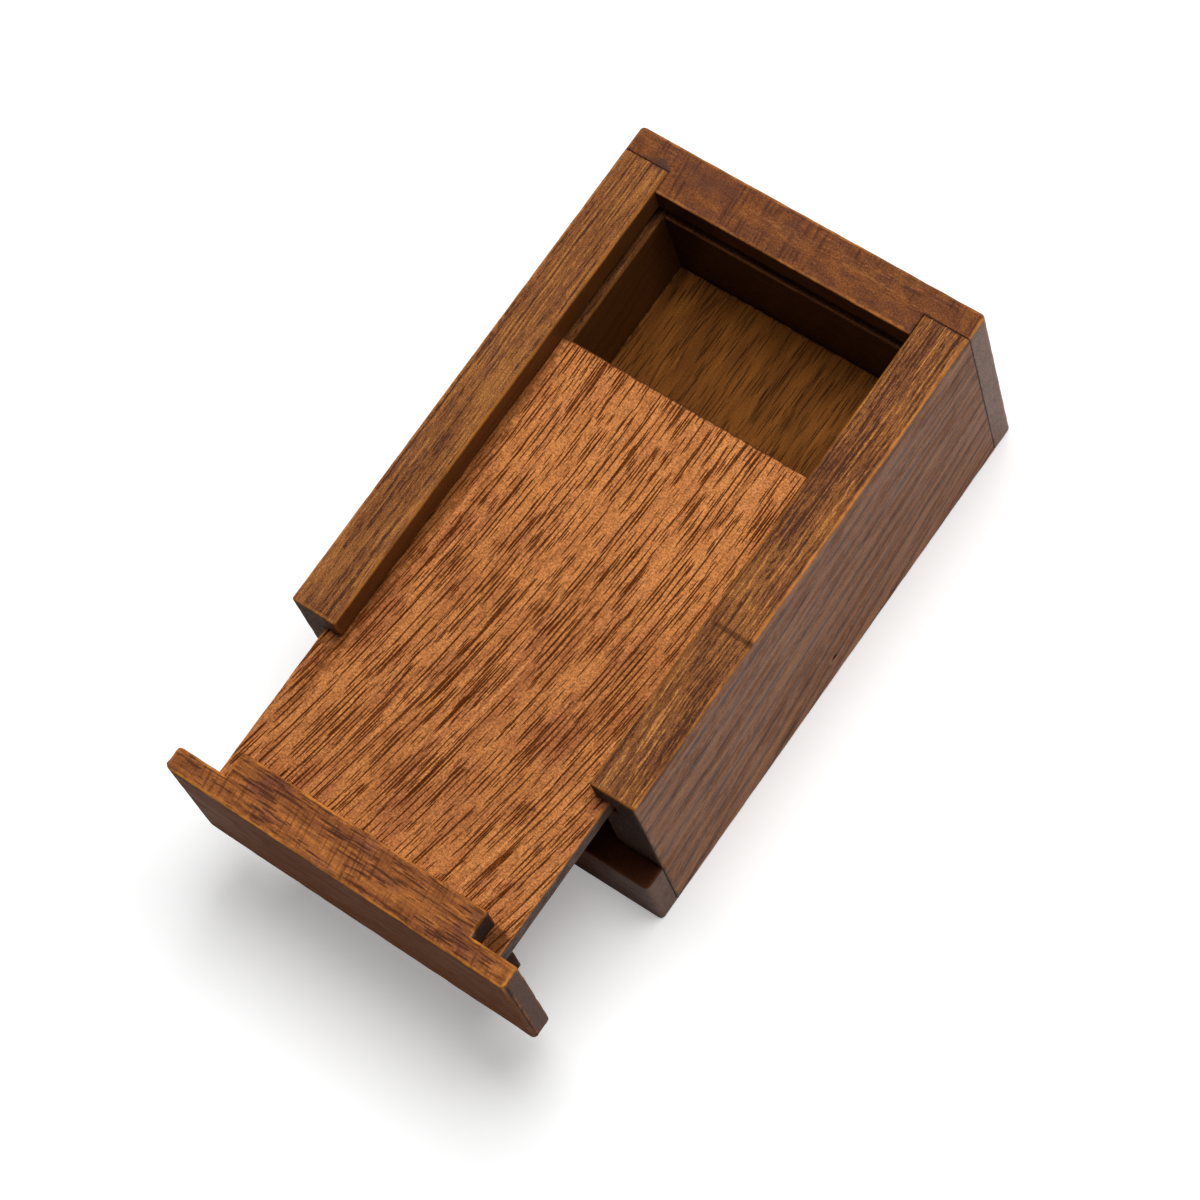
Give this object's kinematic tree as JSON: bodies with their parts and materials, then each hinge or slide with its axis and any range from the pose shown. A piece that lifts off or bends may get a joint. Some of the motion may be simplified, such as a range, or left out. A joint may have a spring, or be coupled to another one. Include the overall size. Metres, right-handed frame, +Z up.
{
  "type": "rattle box",
  "caption": "Small stained wooden trick box with a sliding lid, a way out over its low end rail, and a double bottom that hides a loose slug.",
  "frame": {"origin": "centre of the box's underside, lid not counted", "axes": "+X across the box to its right wall, +Y along it to the full-height end board, +Z up; the lid draws out along -Y"},
  "size_m": [0.06, 0.1166, 0.038],
  "materials": {
    "wall_wood": "stained, satin",
    "end_wood": "stained, satin",
    "base_wood": "stained, matt",
    "floor_wood": "stained, matt",
    "inner_wood": "raw",
    "lid_wood": "stained open grain, satin",
    "block_wood": "stained, satin",
    "slug_metal": "dull",
    "pin_steel": "dark"
  },
  "bodies": {
    "box": {"left_side_wall": "wall_wood", "right_side_wall": "wall_wood", "far_end_board": "end_wood", "near_end_rail": "end_wood", "base_panel": "base_wood", "inner_floor": "floor_wood", "left_floor_strip": "inner_wood", "right_floor_strip": "inner_wood", "near_cross_batten": "inner_wood", "far_cross_batten": "inner_wood", "side_pins": "pin_steel"},
    "lid": {"lid_panel": "lid_wood", "lid_end_block": "block_wood"},
    "slug": {"rattle_slug": "slug_metal"}
  },
  "joints": [
    {"name": "lid_slide", "type": "slide", "parent": "box", "child": "lid", "axis": [0, -1, 0], "range_m": [-0.026, 0.06]},
    {"name": "slug_slide", "type": "slide", "parent": "box", "child": "slug", "axis": [1, 0, 0], "range_m": [-0.00995, 0.00995]}
  ]
}
